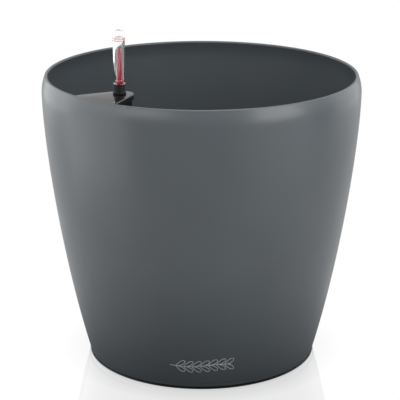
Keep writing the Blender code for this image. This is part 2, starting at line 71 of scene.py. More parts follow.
# Watering shaft, lid and indicator
SHAFT_AZIMUTH = radians(-133.6)
SHAFT_WALL, SHAFT_TO_POT = 1.6 * MM, 1.2 * MM
SHAFT_KEYS = (  # height, tip radius, half width at the tip, half width at the wall
    (32.0 * MM, 88.6 * MM, 6.6 * MM, 9.8 * MM),
    (64.8 * MM, 88.6 * MM, 6.6 * MM, 13.0 * MM),
    (225.0 * MM, 88.3 * MM, 6.5 * MM, 19.4 * MM),
    (251.6 * MM, 88.0 * MM, 6.4 * MM, 22.9 * MM),
)
SHAFT_TOP_R, SHAFT_MIDDLE_R, SHAFT_REACH = 131.7 * MM, 100.5 * MM, 16.0 * MM
SHAFT_RING_Z = (120.0 * MM, 170.0 * MM)
WALL_CORNER, SHAFT_STEPS, TIP_ROUNDNESS = 3.0 * MM, 12, 0.97
COLLAR_OUT, COLLAR_T = 4.0 * MM, 2.0 * MM
STRAINER_T, STRAINER_PLUG, STRAINER_HOLE_R = 1.5 * MM, 1.8 * MM, 0.7 * MM
STRAINER_SPOTS = ((radians(180), 6.8 * MM), (radians(140), 6.4 * MM), (radians(-140), 6.4 * MM))
LID_Z, LID_T, LID_SKIRT, LID_SKIRT_T = 251.9 * MM, 1.7 * MM, 2.8 * MM, 1.2 * MM
LID_HOLE_R, LID_EDGE_STEPS = 4.95 * MM, 6
INDICATOR_R = 98.8 * MM
TUBE_R, TUBE_BORE_R, TUBE_Z, TUBE_TOP_Z = 4.55 * MM, 3.6 * MM, 22.0 * MM, 262.2 * MM
TUBE_COLLAR_R, TUBE_COLLAR_T = 5.6 * MM, 1.8 * MM
TUBE_SLOTS, TUBE_SLOT_W, TUBE_SLOT_L, TUBE_SLOT_UP = 4, 1.6 * MM, 18.0 * MM, 6.0 * MM
HEAD_R, HEAD_BORE_R, SPIGOT_R, SPIGOT_BORE_R = 5.0 * MM, 4.1 * MM, 3.3 * MM, 2.6 * MM
SPIGOT_L, HEAD_TOP_Z, HEAD_FLOOR_T = 6.0 * MM, 307.5 * MM, 0.8 * MM
HEAD_ROUND, VENT_R = 3.2 * MM, 0.6 * MM
FOOT_FLANGE_T, FOOT_PLUG_R, FOOT_PLUG_L, FOOT_HOLE_R = 1.4 * MM, 3.3 * MM, 3.0 * MM, 1.2 * MM
POINTER_R, POINTER_TIP_Z = 1.6 * MM, 292.3 * MM
POINTER_STOP_R, POINTER_STOP_T = 3.8 * MM, 1.4 * MM
POINTER_SLEEVE_R, POINTER_SLEEVE_L = 2.1 * MM, 6.0 * MM
STEM_R, FLOAT_R = 0.8 * MM, 3.1 * MM
FLOAT_Z, FLOAT_TOP_Z, FLOAT_HOLE_Z = 25.6 * MM, 63.0 * MM, 48.0 * MM
MARKS = ((298.7 * MM, 0.55 * MM), (300.5 * MM, 0.55 * MM))  # height and width of each printed ring
MARK_IN, MARK_OUT, MARK_ROUND = 0.01 * MM, 0.06 * MM, 0.02 * MM

# Emblem: a plain sprig on the pot's front
EMBLEM_Z, EMBLEM_X, EMBLEM_LENGTH = 24.0 * MM, 1.5 * MM, 58.0 * MM
EMBLEM_STEM_END, STEM_WAVE, LINE_W, LINE_T = 24.0 * MM, 1.1 * MM, 0.70 * MM, 0.12 * MM
LEAF_COUNT, LEAF_L, LEAF_W, LEAF_LINE = 7, 9.0 * MM, 3.3 * MM, 0.85
LEAF_TILT, LEAF_POINT, LEAF_STEPS, LEAF_START = radians(34), 0.35, 25, 0.8

# Camera
CAMERA = (0.0, -1279.9 * MM, 544.9 * MM)
CAMERA_DOWN, SENSOR, LENS, SHIFT_X = radians(17.62), 36.0, 134.33, -0.00405
CLIP_START, CLIP_END = 0.01, 50.0

# Studio, in metres. Each side panel has a name, its azimuth in degrees to the right of the camera's side,
# distance, lower edge, upper edge, width and radiance.
SIDE_PANELS = (
    ("front_left", -38, 2.0, 0.55, 1.40, 1.20, 2.3),
    ("right_high_front", 49, 0.6, 0.23, 0.75, 0.34, 3.6),
    ("right_high_side", 82, 0.6, 0.40, 0.95, 0.24, 1.2),
    ("right_low", 50, 0.5, 0.0, 0.35, 0.46, 0.45),
    ("left_strip", -74, 0.5, 0.0, 0.6, 0.50, 1.3),
    ("back_left", -122, 1.0, 0.0, 0.9, 0.8, 1.7),
    ("back_right", 122, 1.0, 0.0, 0.9, 0.8, 1.0),
)
TOP_PANELS = (  # name, place, size, radiance
    ("top", (0.0, 0.35, 1.7), (1.6, 1.6), 0.9),
    ("top_front", (0.0, -0.6, 1.9), (1.4, 1.0), 1.9),
    ("top_right", (0.70, -0.20, 1.3), (0.5, 0.5), 2.0),
)
TOP_AIM = (0.0, 0.0, 0.15)
WORLD_LIGHT = 0.765
FLOOR_R, FLOOR_T, FLOOR_DROP = 14.0, 0.02, 0.0002
FLOOR_WHITE, FLOOR_ROUGHNESS = 1.2, 0.06
FLOOR_PAINTED_SHADE_ALBEDO, FLOOR_PAINTED_SHADE_R = (0.03, 0.50), (60.0 * MM, 240.0 * MM)  # painted shade: the floor's albedo grows with distance from a point just in front of the pot's axis
# The darkest point of the floor's painted shade, inside the foot just in front of the pot's axis.
FLOOR_PAINTED_SHADE_CENTRE = (0.0, -70.0 * MM, 0.0)
FLOOR_CLEAN_R = (102.2 * MM, 103.0 * MM)  # from the painted contact shadow, near-black floor at the foot's edge, to plain white
FLOOR_MIRROR, FLOOR_MIRROR_R = (0.46, 0.33), (103.0 * MM, 130.0 * MM)


# Meshes


def polar(radius, angle):
    return radius * cos(angle), radius * sin(angle)


def arc(centre, radius, start, end, steps):
    """Points on a circle from one angle to another, in degrees."""
    angles = [radians(start + (end - start) * i / steps) for i in range(steps + 1)]
    return [(centre[0] + radius * cos(a), centre[1] + radius * sin(a)) for a in angles]


def circle(centre, radius, count):
    return arc(centre, radius, 0, 360 * (count - 1) / count, count - 1)


def soft(outline, radius=0.3 * MM, steps=3):
    """The closed (radius, height) outline with its corners rounded, except on the axis."""
    made = []
    for i, corner in enumerate(outline):
        here = Vector(corner)
        before, after = Vector(outline[i - 1]), Vector(outline[(i + 1) % len(outline)])
        back, on = before - here, after - here
        if here.x <= 1e-9 or back.length < 1e-9 or on.length < 1e-9:
            made.append(here)
            continue
        half = back.angle(on) / 2
        if half > radians(80):
            made.append(here)
            continue
        reach = min(radius / tan(half), 0.45 * back.length, 0.45 * on.length)
        size = reach * tan(half)
        centre = here + (back.normalized() + on.normalized()).normalized() * size / sin(half)
        start, end = here + back.normalized() * reach - centre, here + on.normalized() * reach - centre
        turn = start.angle_signed(end)
        made += [centre + Matrix.Rotation(-turn * k / steps, 2) @ start for k in range(steps + 1)]
    return [tuple(p) for p in made]


def turned(outline, sides, bm=None):
    """Spins a closed outline of (radius, height) points about Z."""
    bm = bm or bmesh.new()
    points = [bm.verts.new((r, 0.0, z)) for r, z in outline]
    edges = [bm.edges.new((a, b)) for a, b in zip(points, points[1:] + points[:1])]
    bmesh.ops.spin(bm, geom=points + edges, axis=(0, 0, 1), cent=(0, 0, 0), angle=2 * pi,
                   steps=sides, use_merge=True)
    bmesh.ops.remove_doubles(bm, verts=bm.verts, dist=1e-7)
    bmesh.ops.dissolve_degenerate(bm, edges=bm.edges, dist=1e-7)
    return bm


def prism(outline, low, high, bm=None):
    """A solid between two heights over an (x, y) outline."""
    bm = bm or bmesh.new()
    face = bm.faces.new([bm.verts.new((x, y, low)) for x, y in outline])
    grown = bmesh.ops.extrude_face_region(bm, geom=[face])["geom"]
    top = [v for v in grown if isinstance(v, bmesh.types.BMVert)]
    bmesh.ops.translate(bm, verts=top, vec=(0, 0, high - low))
    return bm


def loft(rings, tube=False):
    """Joins rings of points that all have the same count. A tube joins the last ring to the first."""
    bm = bmesh.new()
    loops = [[bm.verts.new(point) for point in ring] for ring in rings]
    pairs = list(zip(loops, loops[1:]))
    if tube:
        pairs.append((loops[-1], loops[0]))
    else:
        bm.faces.new(loops[0])
        bm.faces.new(loops[-1])
    for lower, upper in pairs:
        for i, point in enumerate(lower):
            j = (i + 1) % len(lower)
            bm.faces.new((point, lower[j], upper[j], upper[i]))
    return bm


def new_object(name, bm, at=(0.0, 0.0, 0.0)):
    """An object in the scene made of the bmesh, with its faces turned out."""
    bmesh.ops.recalc_face_normals(bm, faces=bm.faces)
    mesh = bpy.data.meshes.new(name)
    bm.to_mesh(mesh)
    bm.free()
    mesh.transform(Matrix.Translation(at))
    made = bpy.data.objects.new(name, mesh)
    bpy.context.scene.collection.objects.link(made)
    return made


def piece(name, bm, material, body, *nodes, at=(0.0, 0.0, 0.0), slot=None):
    """Makes the bmesh a shown piece that rides on a body and stands for CAD nodes."""
    made = new_object(name, bm, at)
    made.data.shade_smooth()
    made.data.set_sharp_from_angle(angle=SHARP_ANGLE)
    made.data.materials.append(material)
    if nodes:
        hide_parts(*nodes)
    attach(made, body)
    return made


def carve(target, bm, at=(0.0, 0.0, 0.0)):
    """Takes the bmesh's shape out of the target and keeps the result as its mesh."""
    cutter = new_object("cutter", bm, at)
    modifier = target.modifiers.new("carve", "BOOLEAN")
    modifier.operation, modifier.object, modifier.solver = "DIFFERENCE", cutter, "EXACT"
    graph = bpy.context.evaluated_depsgraph_get()
    made = bpy.data.meshes.new_from_object(target.evaluated_get(graph), depsgraph=graph)
    target.modifiers.remove(modifier)
    target.data = made
    bpy.data.objects.remove(cutter)
    made.set_sharp_from_angle(angle=SHARP_ANGLE)


# Materials


def new_material(name, colour, roughness, **inputs):
    """A Principled material. Numbers that are the same all over are set on its own sockets."""
    made = bpy.data.materials.new(name)
    made.use_nodes = True
    shader = made.node_tree.nodes["Principled BSDF"]
    shader.inputs["Base Color"].default_value = (*colour, 1.0)
    shader.inputs["Roughness"].default_value = roughness
    for key, value in inputs.items():
        shader.inputs[key.replace("_", " ")].default_value = value
    return made, shader, made.node_tree


def noise(tree, scale, detail=4.0, rough=0.55, stretch=(1, 1, 1)):
    where = tree.nodes.new("ShaderNodeTexCoord")
    mapping = tree.nodes.new("ShaderNodeMapping")
    mapping.inputs["Scale"].default_value = stretch
    texture = tree.nodes.new("ShaderNodeTexNoise")
    texture.inputs["Scale"].default_value = scale
    texture.inputs["Detail"].default_value = detail
    texture.inputs["Roughness"].default_value = rough
    tree.links.new(where.outputs["Object"], mapping.inputs["Vector"])
    tree.links.new(mapping.outputs["Vector"], texture.inputs["Vector"])
    return texture.outputs["Fac"]


def spread(tree, source, low, high, start=0.15, end=0.85):
    """Maps the source's middle range to low..high."""
    made = tree.nodes.new("ShaderNodeMapRange")
    for name, value in (("From Min", start), ("From Max", end), ("To Min", low), ("To Max", high)):
        made.inputs[name].default_value = value
    tree.links.new(source, made.inputs["Value"])
    return made.outputs["Result"]


def mottle(tree, shader, source, colour, dark, light):
    """Varies the base colour between dark and light times colour."""
    ramp = tree.nodes.new("ShaderNodeValToRGB")
    ramp.color_ramp.interpolation = "EASE"
    ramp.color_ramp.elements[0].position, ramp.color_ramp.elements[1].position = 0.15, 0.85
    ramp.color_ramp.elements[0].color = (*[c * dark for c in colour], 1.0)
    ramp.color_ramp.elements[1].color = (*[c * light for c in colour], 1.0)
    tree.links.new(source, ramp.inputs["Fac"])
    tree.links.new(ramp.outputs["Color"], shader.inputs["Base Color"])


def bump(tree, shader, source, distance, strength=1.0):
    made = tree.nodes.new("ShaderNodeBump")
    made.inputs["Distance"].default_value = distance
    made.inputs["Strength"].default_value = strength
    previous = shader.inputs["Normal"].links
    if previous:
        tree.links.new(previous[0].from_socket, made.inputs["Normal"])
    tree.links.new(source, made.inputs["Height"])
    tree.links.new(made.outputs["Normal"], shader.inputs["Normal"])


def slate():
    """Satin slate grey: a fine even grain, faint cloudiness and slightly uneven gloss."""
    colour = (0.0573, 0.0660, 0.0728)
    made, shader, tree = new_material("slate_satin", colour, 0.3, IOR=1.5)
    mottle(tree, shader, noise(tree, 14, 2), colour, 0.93, 1.07)
    tree.links.new(spread(tree, noise(tree, 40, 1), 0.285, 0.335), shader.inputs["Roughness"])
    bump(tree, shader, noise(tree, 700, 2), 0.012 * MM, 0.4)
    return made


def moulded(name, colour, low, high, grain=1800, depth=0.012 * MM, shine=0.5):
    """Injection moulded plastic: fine grain, and gloss that varies with the flow of the melt."""
    made, shader, tree = new_material(name, colour, (low + high) / 2, IOR=1.5, Specular_IOR_Level=shine)
    mottle(tree, shader, noise(tree, 90, 4, stretch=(1, 1, 0.4)), colour, 0.85, 1.15)
    tree.links.new(spread(tree, noise(tree, 140, 3), low, high), shader.inputs["Roughness"])
    bump(tree, shader, noise(tree, grain, 2), depth, 0.6)
    return made


def clear():
    made, shader, tree = new_material("clear_plastic", (0.97, 0.985, 0.98), 0.02, IOR=1.49)
    shader.inputs["Transmission Weight"].default_value = 1.0
    tree.links.new(spread(tree, noise(tree, 500, 2), 0.01, 0.04), shader.inputs["Roughness"])
    return made


def foam():
    """White bead foam."""
    colour = (0.78, 0.78, 0.75)
    made, shader, tree = new_material("bead_foam", colour, 0.75)
    where = tree.nodes.new("ShaderNodeTexCoord")
    beads = tree.nodes.new("ShaderNodeTexVoronoi")
    beads.inputs["Scale"].default_value = 900
    tree.links.new(where.outputs["Object"], beads.inputs["Vector"])
    mottle(tree, shader, beads.outputs["Distance"], colour, 1.05, 0.86)
    bump(tree, shader, beads.outputs["Distance"], -0.12 * MM)
    return made


# The pot


def wall_points(steps, inset=0.0):
    """The wall's curve from the foot to the belly, as (radius, height), set in by inset."""
    start, end = Vector((BASE_R, BASE_Z)), Vector((BELLY_R, BELLY_Z))
    first = start + Vector((BASE_SLOPE, 1.0)) * BASE_PULL
    last = end - Vector((0.0, 1.0)) * BELLY_PULL
    return [(p.x - inset, p.y) for p in interpolate_bezier(start, first, last, end, steps)]


def wall_radius(z, inset=0.0):
    points = wall_points(60, inset)
    for (r0, z0), (r1, z1) in zip(points, points[1:]):
        if z <= z1:
            return r0 + (r1 - r0) * (z - z0) / (z1 - z0)
    return points[-1][0]


def eased(points):
    """Draws the points in above EASE_Z, ever more steeply up to the lip."""
    span = POT_HEIGHT - WALL / 2 - EASE_Z
    return [(r - (BELLY_R - LIP_R) * (max(0.0, z - EASE_Z) / span) ** EASE_POWER, z) for r, z in points]


def side_points(inset=0.0):
    """The pot's side from the foot to the lip."""
    rise = POT_HEIGHT - WALL / 2 - BELLY_Z
    heights = [BELLY_Z + rise * i / SHOULDER_STEPS for i in range(1, SHOULDER_STEPS + 1)]
    return eased(wall_points(WALL_STEPS, inset) + [(BELLY_R - inset, z) for z in heights])


def make_pot(look):
    lip_z = POT_HEIGHT - WALL / 2
    lip = arc((LIP_R - WALL / 2, lip_z), WALL / 2, 16, 164, 12)
    floor_r = wall_radius(FLOOR_Z + FLOOR_FILLET, WALL)
    inside = [p for p in side_points(WALL) if p[1] > FLOOR_Z + FLOOR_FILLET + MM]
    inside = [(floor_r, FLOOR_Z + FLOOR_FILLET)] + inside
    fillet = arc((floor_r - FLOOR_FILLET, FLOOR_Z + FLOOR_FILLET), FLOOR_FILLET, -90, -10, 8)
    hole = PIPE_R + FLOOR_HOLE_GAP
    under = soft([
        (hole, FLOOR_Z - 1.5 * MM),
        (hole, RECESS_Z),
        (FOOT_IN - 3 * MM, RECESS_Z),
        (FOOT_IN, 0.0),
        (FOOT_OUT, 0.0),
        (FOOT_OUT, FOOT_STEP_Z),
        (BASE_R - 0.5 * MM, FOOT_STEP_Z),
        (BASE_R, BASE_Z),
        (BASE_R + 0.5 * MM, FLOOR_Z),
    ], 0.5 * MM)[1:-2]
    floor = [(hole, FLOOR_Z)]
    outline = under + side_points()[1:] + lip + inside[::-1] + fillet[::-1] + floor
    piece("pot_shell", turned(outline, 256), look, "pot", "planter_shell")


def on_wall(along, height):
    """A point on the pot's front, from distances along the wall and up from the emblem's middle."""
    z = EMBLEM_Z + height
    radius = wall_radius(z)
    angle = -pi / 2 + (EMBLEM_X + along) / radius
    return Vector((radius * cos(angle), radius * sin(angle), z)), Vector((cos(angle), sin(angle), 0))


def stroke(bm, path, width):
    """A thin raised line on the pot through (along, height) points."""
    loops = []
    for i, (x, y) in enumerate(path):
        before, after = Vector(path[max(i - 1, 0)]), Vector(path[min(i + 1, len(path) - 1)])
        side = (after - before).orthogonal().normalized() * width / 2
        ring = []
        for sign, out in ((-1, -LINE_T), (1, -LINE_T), (1, LINE_T), (-1, LINE_T)):
            point, normal = on_wall(x + side.x * sign, y + side.y * sign)
            ring.append(bm.verts.new(point + normal * out))
        loops.append(ring)
    for a, b in zip(loops, loops[1:]):
        for k in range(4):
            bm.faces.new((a[k], a[(k + 1) % 4], b[(k + 1) % 4], b[k]))
    bm.faces.new(loops[0])
    bm.faces.new(loops[-1])


def stem_point(x):
    """A point on the sprig's waved stem."""
    return Vector((x, STEM_WAVE * sin(x / (EMBLEM_LENGTH / 2) * pi)))


def make_emblem(look):
    """A plain sprig: a waved stem with outlined leaves on both sides."""
    bm = bmesh.new()
    start = -EMBLEM_LENGTH / 2
    count = round((EMBLEM_STEM_END - start) / MM)
    stroke(bm, [stem_point(start + i * MM) for i in range(count + 1)], LINE_W)
    for i in range(LEAF_COUNT):
        foot = stem_point(start + (i + LEAF_START) * (EMBLEM_LENGTH - LEAF_L) / LEAF_COUNT)
        for sign in (-1, 1):
            turn = Matrix.Rotation(sign * LEAF_TILT, 2)
            leaf = []
            for k in range(LEAF_STEPS):
                t = 2 * pi * (k + 0.5) / LEAF_STEPS
                along = LEAF_L / 2 * (1 - cos(t))
                across = LEAF_W / 2 * sin(t) * (1 - LEAF_POINT * cos(t))
                leaf.append(foot + turn @ Vector((along, across)))
            stroke(bm, leaf, LINE_W * LEAF_LINE)
    piece("front_sprig", bm, look, "pot", slot="slate_shell")


def hexagon(radius, z, count=72):
    """Points on the outline of a hexagon with a corner at +X."""
    points = []
    for k in range(count):
        angle = 2 * pi * k / count
        reach = radius * sin(pi / 3) / sin(pi / 3 + angle % (pi / 3))
        points.append((*polar(reach, angle), z))
    return points


def make_overflow(black, rubber):
    flange_z = FLOOR_Z + GASKET_T + 2 * GAP
    pipe = [
        (PIPE_BORE_R, PIPE_END_Z), (PIPE_THREAD_R, PIPE_END_Z), (PIPE_THREAD_R, flange_z),
        (FLANGE_R, flange_z), (FLANGE_R, flange_z + FLANGE_T), (PIPE_R, flange_z + FLANGE_T),
        (PIPE_R, WATER_MAX_Z), (PIPE_BORE_R, WATER_MAX_Z),
    ]
    piece("overflow_standpipe", turned(soft(pipe, 0.5 * MM), 72), black, "pot", "overflow_pipe")
    low, high = FLOOR_Z + GAP, FLOOR_Z + GAP + GASKET_T
    near, far = PIPE_R + GAP, FLANGE_R - 0.5 * MM
    ring = [(near, low), (far, low), (far, high), (near, high)]
    piece("overflow_seal_ring", turned(soft(ring), 72), rubber, "pot", "overflow_gasket")
    top = RECESS_Z - GAP
    edge = 0.5 * MM
    rings = [hexagon(NUT_R - edge, NUT_Z), hexagon(NUT_R, NUT_Z + edge)]
    rings += [hexagon(NUT_R, top - edge), hexagon(NUT_R - edge, top)]
    bore = circle((0, 0), NUT_BORE_R, 72)
    rings += [[(x, y, z) for x, y in bore] for z in (top, NUT_Z)]
    piece("overflow_lock_nut", loft(rings, tube=True), black, "pot", "overflow_nut")


def make_plug(black, rubber):
    groove = SEAL_WIRE_R + 0.25 * MM
    neck_r = SEAL_R - SEAL_WIRE_R - 0.15 * MM
    head_top = PLUG_HEAD_Z + PLUG_HEAD_T
    outline = [
        (0.0, PLUG_HEAD_Z), (PLUG_HEAD_R, PLUG_HEAD_Z), (PLUG_HEAD_R, head_top), (PLUG_R, head_top),
        (PLUG_R, SEAL_Z - groove), (neck_r, SEAL_Z - groove), (neck_r, SEAL_Z + groove),
        (PLUG_R, SEAL_Z + groove), (PLUG_R, PLUG_TOP_Z - MM), (PLUG_R - MM, PLUG_TOP_Z),
        (0.0, PLUG_TOP_Z),
    ]
    plug = piece("drain_screw_plug", turned(soft(outline, 0.4 * MM), 64), black, "drain_plug", "drain_plug")
    x, y = PLUG_SLOT_L / 2, PLUG_SLOT_W / 2
    slot = [(-x, -y), (x, -y), (x, y), (-x, y)]
    carve(plug, prism(slot, 0.0, PLUG_HEAD_Z + PLUG_SLOT_DEPTH))
    ring = circle((SEAL_R, SEAL_Z), SEAL_WIRE_R, 16)
    piece("drain_o_ring", turned(ring, 64), rubber, "drain_plug", "drain_plug_seal")


# The insert


def cup_centres():
    step = 2 * pi / CUP_COUNT
    return [polar(CUP_RING_R, SHAFT_AZIMUTH + step * (i + 0.5)) for i in range(CUP_COUNT)]


def slot_outline(radius, angle):
    """A tangential slot with round ends."""
    half = (SLOT_L - SLOT_W) / 2
    ends = arc((half, 0), SLOT_W / 2, -90, 90, 8) + arc((-half, 0), SLOT_W / 2, 90, 270, 8)
    turn = Matrix.Rotation(angle + pi / 2, 2)
    centre = Vector(polar(radius, angle))
    return [centre + turn @ Vector(p) for p in ends]


def clear_of_openings(radius, angle):
    """Whether a slot here keeps off the cups' holes and the shaft's."""
    x, y = polar(radius, angle)
    cup_reach = CUP_SHOULDER_R + SLOT_L / 2 + SLOT_TO_CUP
    near_cup = any(hypot(x - u, y - v) < cup_reach for u, v in cup_centres())
    shaft_x, shaft_y = polar(SHAFT_MIDDLE_R, SHAFT_AZIMUTH)
    shaft_reach = SHAFT_REACH + SLOT_L / 2 + SLOT_TO_SHAFT
    return not near_cup and hypot(x - shaft_x, y - shaft_y) > shaft_reach


def make_separator(black):
    edge_r = wall_radius(PLATE_Z, WALL) - WALL_CLEARANCE
    plate_top, lip_z = PLATE_Z + PLATE_T, PLATE_Z + PLATE_LIP
    lip_r = wall_radius(lip_z, WALL) - WALL_CLEARANCE
    outline = [
        (0.0, PLATE_Z), (edge_r - MM, PLATE_Z), (edge_r, PLATE_Z + MM), (lip_r, lip_z),
        (lip_r - 2 * MM, lip_z), (edge_r - 2.4 * MM, plate_top), (0.0, plate_top),
    ]
    body = turned(soft(outline, 0.7 * MM), 192)
    plate = piece("soil_separator", body, black, "insert", "separator_plate")
    low, high = PLATE_Z - 2 * MM, plate_top + 2 * MM
    holes = bmesh.new()
    for centre in cup_centres():
        prism(circle(centre, CUP_NECK_R + 0.4 * MM, 96), low, high, holes)
    notch = shaft_ring(plate_top, -SHAFT_CLEARANCE, wall_inset=-NOTCH_OUT)
    prism([p.xy for p in notch], low, lip_z + 2 * MM, holes)
    for radius, count in SLOT_RINGS:
        for i in range(count):
            angle = SHAFT_AZIMUTH + 2 * pi * (i + 0.5) / count
            if clear_of_openings(radius, angle):
                prism(slot_outline(radius, angle), low, high, holes)
    carve(plate, holes)


def make_cups(black):
    foot_z = FLOOR_Z + GAP
    shoulder_z = PLATE_Z - GAP - CUP_SHOULDER_T
    shoulder_top, bore_r = PLATE_Z - GAP, CUP_NECK_R - CUP_WALL
    outline = [
        (CUP_HOLE_R, foot_z), (CUP_BASE_R, foot_z), (CUP_NECK_R, shoulder_z),
        (CUP_SHOULDER_R, shoulder_z), (CUP_SHOULDER_R, shoulder_top), (CUP_NECK_R, shoulder_top),
        (CUP_NECK_R, CUP_TOP_Z), (bore_r, CUP_TOP_Z), (bore_r, shoulder_z),
        (CUP_BASE_R - CUP_WALL, foot_z + CUP_WALL), (CUP_HOLE_R, foot_z + CUP_WALL),
    ]
    half, start, end = CUP_SLOT_W / 2, CUP_SLOT_START, CUP_SLOT_START + 2 * CUP_BASE_R
    bar = [(start, -half), (end, -half), (end, half), (start, half)]
    for number, (x, y) in enumerate(cup_centres(), 1):
        at = (x, y, 0.0)
        cup = piece(f"soil_foot_{number}", turned(soft(outline, 0.6 * MM), 96), black, "insert",
                    f"wick_cup_{number}", at=at)
        slots = bmesh.new()
        for i in range(CUP_SLOTS):
            turn = Matrix.Rotation(2 * pi * i / CUP_SLOTS, 2)
            prism([turn @ Vector(p) for p in bar], CUP_SLOT_Z, CUP_SLOT_TOP_Z, slots)
        carve(cup, slots, at)


def shaft_size(z):
    """Tip radius, tip half width, wall radius and wall half width at a height."""
    lower = max((k for k in SHAFT_KEYS if k[0] <= z + 1e-9), default=SHAFT_KEYS[0])
    upper = min((k for k in SHAFT_KEYS if k[0] > z + 1e-9), default=SHAFT_KEYS[-1])
    ends = []
    for height, tip, tip_half, wall_half in (lower, upper):
        wall = min(wall_radius(height, WALL) - SHAFT_TO_POT, SHAFT_TOP_R)
        ends.append((tip, tip_half, wall, wall_half))
    share = 0.0 if upper is lower else (z - lower[0]) / (upper[0] - lower[0])
    return [a + (b - a) * share for a, b in zip(*ends)]


def rounded(corners, steps):
    """Replaces each (point, radius) corner by an arc that touches both of its sides."""
    made = []
    for i, (corner, radius) in enumerate(corners):
        before, after = Vector(corners[i - 1][0]), Vector(corners[(i + 1) % len(corners)][0])
        here = Vector(corner)
        to_before, to_after = (before - here).normalized(), (after - here).normalized()
        half = to_before.angle(to_after) / 2
        centre = here + (to_before + to_after).normalized() * radius / sin(half)
        start = here + to_before * radius / tan(half) - centre
        end = here + to_after * radius / tan(half) - centre
        turn = start.angle_signed(end)
        made += [centre + Matrix.Rotation(-turn * k / steps, 2) @ start for k in range(steps + 1)]
    return made


def shaft_ring(z, inset=0.0, size_z=None, wall_inset=None):
    """The shaft's outline at a height, set in by inset (by wall_inset at the pot's wall)."""
    tip, tip_half, wall, wall_half = shaft_size(z if size_z is None else size_z)
    wall_inset = inset if wall_inset is None else wall_inset
    slope = atan2(wall_half - tip_half, wall - tip)
    tip_half += inset * (tan(slope) - 1 / cos(slope))
    wall_half -= wall_inset * tan(slope) + inset / cos(slope)
    tip, wall = tip + inset, wall - wall_inset
    end = sqrt(wall**2 - wall_half**2)
    tip_round = TIP_ROUNDNESS * tip_half * tan((pi / 2 + slope) / 2)
    wall_round = max(WALL_CORNER - inset, MM)
    corners = [((tip, -tip_half), tip_round), ((end, -wall_half), wall_round),
               ((end, wall_half), wall_round), ((tip, tip_half), tip_round)]
    ring = rounded(corners, SHAFT_STEPS)
    bulge = [Vector(polar(wall, asin(wall_half / wall) * (k / 10 - 0.7))) for k in range(15)]
    half_way = 2 * (SHAFT_STEPS + 1)
    ring[half_way:half_way] = bulge
    turn = Matrix.Rotation(SHAFT_AZIMUTH, 2)
    return [(turn @ p).to_3d() + Vector((0, 0, z)) for p in ring]


def make_shaft(black):
    low, mouth_z, top = SHAFT_KEYS[0][0], SHAFT_KEYS[2][0], SHAFT_KEYS[3][0]
    ledge = PLATE_Z + PLATE_T + GAP
    ledge_top = ledge + COLLAR_T
    edge = 0.35 * MM
    outer = [shaft_ring(low, edge), shaft_ring(low + edge), shaft_ring(ledge)]
    for z, out in ((ledge, COLLAR_OUT), (ledge_top - edge, COLLAR_OUT), (ledge_top, COLLAR_OUT - edge)):
        outer.append(shaft_ring(z, -out, ledge, 0.0))
    outer += [shaft_ring(z) for z in (ledge_top, *SHAFT_RING_Z, mouth_z, top - edge)]
    outer.append(shaft_ring(top, edge))
    inner = [shaft_ring(top, SHAFT_WALL - edge), shaft_ring(top - edge, SHAFT_WALL)]
    heights = (mouth_z, *SHAFT_RING_Z[::-1], ledge_top, ledge, low + edge)
    inner += [shaft_ring(z, SHAFT_WALL) for z in heights]
    inner.append(shaft_ring(low, SHAFT_WALL - edge))
    piece("water_shaft", loft(outer + inner, tube=True), black, "insert", "watering_shaft")


def make_strainer(black):
    end = SHAFT_KEYS[0][0]
    low, high = end - GAP - STRAINER_T, end + STRAINER_PLUG
    edge = 0.3 * MM
    rings = [shaft_ring(low, edge, end), shaft_ring(low + edge, 0.0, end), shaft_ring(end - GAP, 0.0, end),
             shaft_ring(end - GAP, SHAFT_WALL + GAP, end), shaft_ring(high, SHAFT_WALL + GAP, end)]
    strainer = piece("shaft_bottom_sieve", loft(rings), black, "insert", "shaft_strainer")
    x, y = polar(INDICATOR_R, SHAFT_AZIMUTH)
    holes = prism(circle((x, y), TUBE_R + 0.4 * MM, 48), low - MM, high + MM)
    for angle, reach in STRAINER_SPOTS:
        spot_x, spot_y = polar(reach, SHAFT_AZIMUTH + angle)
        prism(circle((x + spot_x, y + spot_y), STRAINER_HOLE_R, 16), low - MM, high + MM, holes)
    carve(strainer, holes)


def make_lid(black):
    """A plate with a skirt around the shaft's top edge, rounded along its upper edge."""
    top = SHAFT_KEYS[-1][0]
    out = LID_SKIRT_T + GAP
    low, high = LID_Z - LID_SKIRT, LID_Z + LID_T
    edge, fine = 0.8 * MM, 0.3 * MM
    rings = [shaft_ring(LID_Z, -GAP, top), shaft_ring(low + fine, -GAP, top)]
    rings += [shaft_ring(low, -GAP - fine, top), shaft_ring(low, fine - out, top)]
    rings.append(shaft_ring(low + fine, -out, top))
    for k in range(LID_EDGE_STEPS + 1):
        a = pi / 2 * k / LID_EDGE_STEPS
        rings.append(shaft_ring(high - edge + edge * sin(a), edge * (1 - cos(a)) - out, top))
    lid = piece("shaft_cover", loft(rings), black, "lid", "shaft_lid")
    centre = polar(INDICATOR_R, SHAFT_AZIMUTH)
    carve(lid, prism(circle(centre, LID_HOLE_R, 64), low - MM, high + MM))


# The indicator


def axis():
    """Where the indicator's axis meets the ground."""
    return (*polar(INDICATOR_R, SHAFT_AZIMUTH), 0.0)


